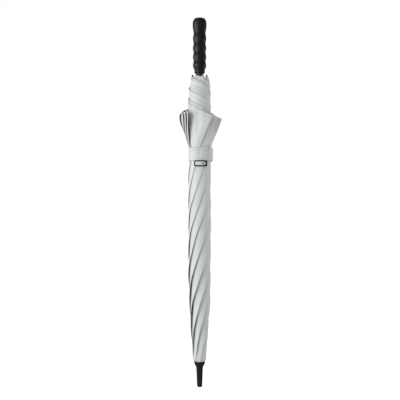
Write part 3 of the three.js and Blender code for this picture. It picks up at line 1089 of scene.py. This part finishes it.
def make_crown_patch():
    """The round patch of cloth under the gathers, whose rim shows over the cap."""
    path = [(8, 65.0, 0), (12.2, 65.3, 1), (13.3, 69.5, 1), (15.6, 71.2, 0.8), (PATCH_R, 73.0, 0)]
    outline = np.array(rounded(path, 4))
    radius, z = outline[:, 0][:, None], outline[:, 1][:, None]
    angle = around(PATCH_SEGMENTS)
    wide = radius + 0.12 * np.sin(9 * angle) * (z > 70)
    high = z + 0.25 * np.sin(5 * angle + 1) * (z > 72)
    points = polar(wide, angle, high)
    made = mesh_object("crown_patch", points, grid_faces(len(z), PATCH_SEGMENTS, closed_columns=True))
    shell = made.modifiers.new("thickness", "SOLIDIFY")
    shell.thickness = 0.3 * MM
    shell.offset = 0
    from_rim = np.repeat(np.linspace(PATCH_HEM, 0, len(z)), PATCH_SEGMENTS)
    store_cloth(made, points, from_rim, np.tile(angle * (PATCH_R - 1.3), len(z)))
    place(made, "shaft", "canopy_fabric")


make_strap()

# ---- turned pieces ----


GRIP_SEGMENTS = 128
RIDGE_R = 18.0  # of the foam between its finger grooves
SWELL_R = 18.8
GROOVE_DEPTH = 1.8


def make_turned(name, node, segments, corners, slot="black_plastic"):
    """A turned piece that stands for a CAD node, whose lower end its heights start from."""
    base = box(node)[0][2]
    made = turned(name, [(radius, base + height, rounding) for radius, height, rounding in corners], segments)
    place(made, "shaft", slot, node)


def tall(node):
    low, high = box(node)
    return high[2] - low[2]


def make_turned_pieces():
    """The ferrule, crown cap, shaft, grip collar and end cap, as (radius, height, rounding)."""
    top = tall("ferrule")
    make_turned("ferrule_shell", "ferrule", 96, [
        (0.02, 0, 0), (4.6, 0, 1.2), (6.6, 1.6, 2), (7.3, 6, 3), (8.9, 46, 1), (8.9, 48, 0.4),
        (9.4, 49, 0.5), (9.4, top, 0.3), (7.3, top, 0.2), (7.3, 22, 0), (0.02, 22, 0),
    ])
    make_turned("crown_cap_shell", "crown_cap", 112, [
        (7.3, 0, 0.2), (9.3, 0, 0.5), (11.3, 2, 2), (13.5, 6, 3), (14.7, 11, 3), (15, 15.2, 0.4),
        (13.75, 15.2, 0.4), (13.4, 11, 2), (12.2, 6.6, 1.5), (7.3, 4.5, 0.2),
    ])
    top = tall("shaft")
    make_turned("shaft_tube", "shaft", 64, [
        (5.3, 0, 0.2), (7, 0, 0.3), (7, top, 0.3), (5.3, top, 0.2),
    ], "shaft_fibreglass")
    make_turned("grip_collar_ring", "grip_collar", 96, [
        (10.5, 0, 0.2), (13.2, 0, 0.5), (14, 1, 0.5), (14, 6.4, 0.4), (10.5, 6.4, 0.2),
    ])
    make_grip()
    seam = box("grip")[1][2] + 0.3 - box("end_cap")[0][2]
    top = tall("end_cap")
    make_turned("handle_end_cap", "end_cap", 112, [
        (0.02, 0, 0), (5, 0, 0.6), (5, seam, 0), (16.4, seam, 0.3), (16.2, seam + 1.2, 0.8),
        (14.6, top - 1.5, 1.6), (10.8, top - 0.3, 1.5), (9.6, top, 0.3), (8.9, top, 0.25),
        (8.6, top - 0.45, 0.2), (7.9, top - 0.45, 0.2), (7.6, top, 0.25), (0.02, top, 0),
    ])


def grip_profile():
    """The foam's outline: four finger grooves, then a long swell: (radius, height)."""
    low, high = box("grip")[0][2], box("grip")[1][2]
    first, last = low + 13.5, low + 120
    grooves = [low + 24.7, low + 48, low + 73, low + 100]
    points = [(10.5, low), (13.6, low), (14.2, low + 0.7)]
    for u in np.linspace(0.1, 1, 12):
        points.append((14.2 + (RIDGE_R - 14.2) * smoothstep(u) ** 0.8, low + 0.7 + (first - low - 0.7) * u))
    for index, groove in enumerate(grooves):
        start = (grooves[index - 1] + groove) / 2 if index else first
        end = (groove + grooves[index + 1]) / 2 if index < 3 else last
        for u in np.linspace(0, 2, 29)[1:]:
            z = start + (groove - start) * u if u <= 1 else groove + (end - groove) * (u - 1)
            top = SWELL_R if u > 1 and index == 3 else RIDGE_R
            depth = (1 - math.cos(math.pi * u)) / 2
            points.append((top - (top - RIDGE_R + GROOVE_DEPTH) * depth, z))
    for u in np.linspace(0, 1, 12):
        points.append((SWELL_R - 2.3 * u ** 3, last + 6 + (high - last - 6) * u))
    return points + [(16.0, high), (10.5, high)]


def make_grip():
    """The foam grip, a little uneven all over."""
    outline = np.array(grip_profile())
    radius, z = outline[:, 0][:, None], outline[:, 1][:, None]
    angle = around(GRIP_SEGMENTS)
    wobble = 0.09 * np.sin(4 * angle + z / 23) + 0.05 * np.sin(9 * angle - z / 11)
    points = polar(radius + wobble * (radius > 13), angle, z)
    made = tidy_mesh(mesh_object("foam_grip", points, grid_faces(len(z), GRIP_SEGMENTS, True, True), 55))
    place(made, "shaft", "grip_foam", "grip")


make_crown_patch()
make_turned_pieces()

# ---- CAD parts that stay as they are ----


def smooth_group():
    """Shades a part smooth except where its faces meet at a sharp angle."""
    tree, start, end = geometry_group("smooth_by_angle")
    angle = tree.nodes.new("GeometryNodeInputMeshEdgeAngle")
    sharp = tree.nodes.new("FunctionNodeCompare")
    sharp.operation = "GREATER_THAN"
    feed(tree, angle.outputs["Unsigned Angle"], sharp.inputs[0])
    feed(tree, math.radians(32), sharp.inputs[1])
    for domain, smooth in (("FACE", True), ("EDGE", False)):
        shaded = tree.nodes.new("GeometryNodeSetShadeSmooth")
        shaded.domain = domain
        feed(tree, smooth, shaded.inputs["Shade Smooth"])
        feed(tree, start, shaded.inputs["Geometry"])
        start = shaded.outputs[0]
    feed(tree, sharp.outputs[0], shaded.inputs["Selection"])
    feed(tree, start, end)
    return tree


def slot_of(name):
    """The material slot of a CAD node that stays, from what kind of part it is."""
    kinds = {
        "notch_wire": "hinge_wire", "runner_wire": "hinge_wire", "stretcher": "rib_fibreglass",
        "tab_inset": "tab_inset", "strap_tab": "tab_rubber", "snap": "snap_metal",
    }
    return next((slot for start, slot in kinds.items() if name.startswith(start)), "black_plastic")


def finish_cad_parts():
    """Rounds the edges of the CAD parts that show, and gives each its slot's material."""
    smooth = smooth_group()
    for name, part in frame["nodes"].items():
        if part.hide_render:
            continue
        bevel = part.modifiers.new("edges", "BEVEL")
        bevel.width = 0.22 * MM
        bevel.segments = 2
        bevel.limit_method = "ANGLE"
        bevel.angle_limit = math.radians(40)
        shading = part.modifiers.new("shading", "NODES")
        shading.node_group = smooth
        part.data.materials.clear()
        part.data.materials.append(MATERIALS[slot_of(name)])


finish_cad_parts()

# ---- stage, camera and lights ----


FLOOR = 30000  # half the floor's side, in millimetres
AMBIENT = 0.92  # the white surroundings' strength as a light
MIRRORED = 0.13  # and in reflections
MIDDLE = (0, 0, 0.5)


def make_stage():
    """A wide pale floor that shows white to the camera."""
    corners = [(-FLOOR, -FLOOR, 0), (FLOOR, -FLOOR, 0), (FLOOR, FLOOR, 0), (-FLOOR, FLOOR, 0)]
    floor = mesh_object("floor", corners, [(0, 1, 2, 3)])
    floor.location.z = -0.6 * MM
    made = Shader("pale_floor", Specular_IOR_Level=0.1, Emission_Strength=0.25)
    made.surface.inputs["Emission Color"].default_value = (1, 1, 1, 1)
    pale = made.mix(made.noise(60, 3), (0.86, 0.86, 0.86), (0.88, 0.88, 0.88))
    floor.data.materials.append(made.finish(pale, 0.9))
    floor.visible_diffuse = False
    floor.visible_glossy = False


def make_light(name, at, size, power):
    """A soft rectangular light that is turned towards the umbrella's middle."""
    data = bpy.data.lights.new(name, "AREA")
    data.shape = "RECTANGLE"
    data.size, data.size_y = size
    data.energy = power
    light = add_object(name, data)
    light.location = at
    light.rotation_mode = "QUATERNION"
    light.rotation_quaternion = (Vector(MIDDLE) - Vector(at)).to_track_quat("-Z", "Y")


def make_world():
    """A white studio: as bright as paper to the camera, dimmer as a light and in reflections."""
    world = bpy.data.worlds.new("studio")
    bpy.context.scene.world = world
    world.use_nodes = True
    tree = world.node_tree
    background = tree.nodes["Background"]
    background.inputs["Color"].default_value = (1, 1, 1, 1)
    path = tree.nodes.new("ShaderNodeLightPath")
    lit = math_node(tree, "MULTIPLY_ADD", path.outputs["Is Camera Ray"], 1.0 - AMBIENT, AMBIENT)
    strength = math_node(tree, "MULTIPLY_ADD", path.outputs["Is Glossy Ray"], MIRRORED - AMBIENT, lit)
    tree.links.new(strength, background.inputs["Strength"])


def make_camera():
    """A long lens, level with the umbrella's middle."""
    data = bpy.data.cameras.new("camera")
    data.sensor_width = 36
    data.lens = 47.47
    camera = add_object("camera", data)
    camera.location = (0.00107, -1.42, 0.5019)
    camera.rotation_euler = (math.radians(90), 0, 0)
    bpy.context.scene.camera = camera


make_stage()
make_world()
make_light("key", (-2.1, -1.25, 0.9), (1.5, 1.8), 42)
make_light("side", (-2.3, 0.35, 0.7), (1.0, 1.6), 12)
make_light("rim", (2.2, 0.9, 0.8), (0.6, 1.6), 8)
make_camera()
bpy.context.scene.view_settings.view_transform = "Standard"
